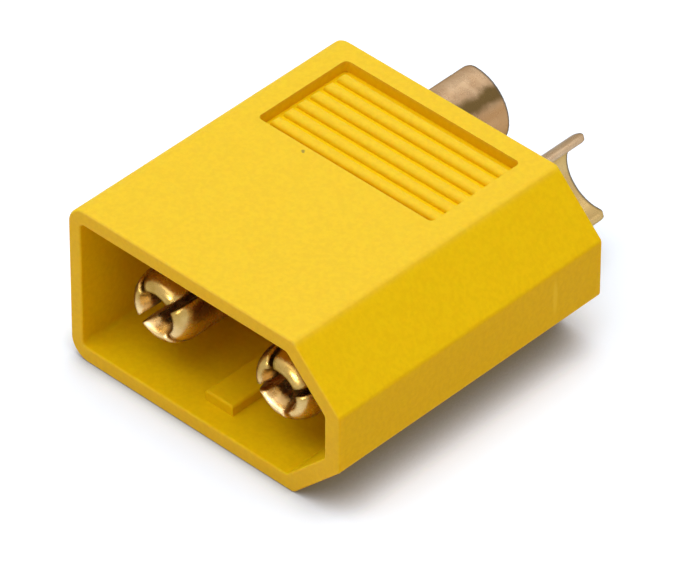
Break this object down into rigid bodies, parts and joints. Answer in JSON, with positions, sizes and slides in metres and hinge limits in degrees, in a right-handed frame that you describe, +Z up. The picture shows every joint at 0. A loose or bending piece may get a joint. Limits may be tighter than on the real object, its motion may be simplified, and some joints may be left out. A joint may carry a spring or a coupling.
{
  "type": "two-pole power connector",
  "caption": "Polarised power connector half: a moulded shroud with one chamfered side around slotted round pins, with scooped solder cups at the rear.",
  "frame": {"origin": "under the middle of the whole part, in the plane of the housing's underside that it rests on", "axes": "+X towards the chamfered (negative) side, +Y from the mouth towards the solder cups, +Z up from the underside"},
  "size_m": [0.0158, 0.0206, 0.0082],
  "materials": {
    "yellow_nylon": "matt moulded nylon, light grain",
    "gold_plate": "thin gold plate over turned brass, slightly tarnished"
  },
  "bodies": {
    "root": {"housing": "yellow_nylon", "positive_contact": "gold_plate", "negative_contact": "gold_plate"}
  },
  "joints": []
}
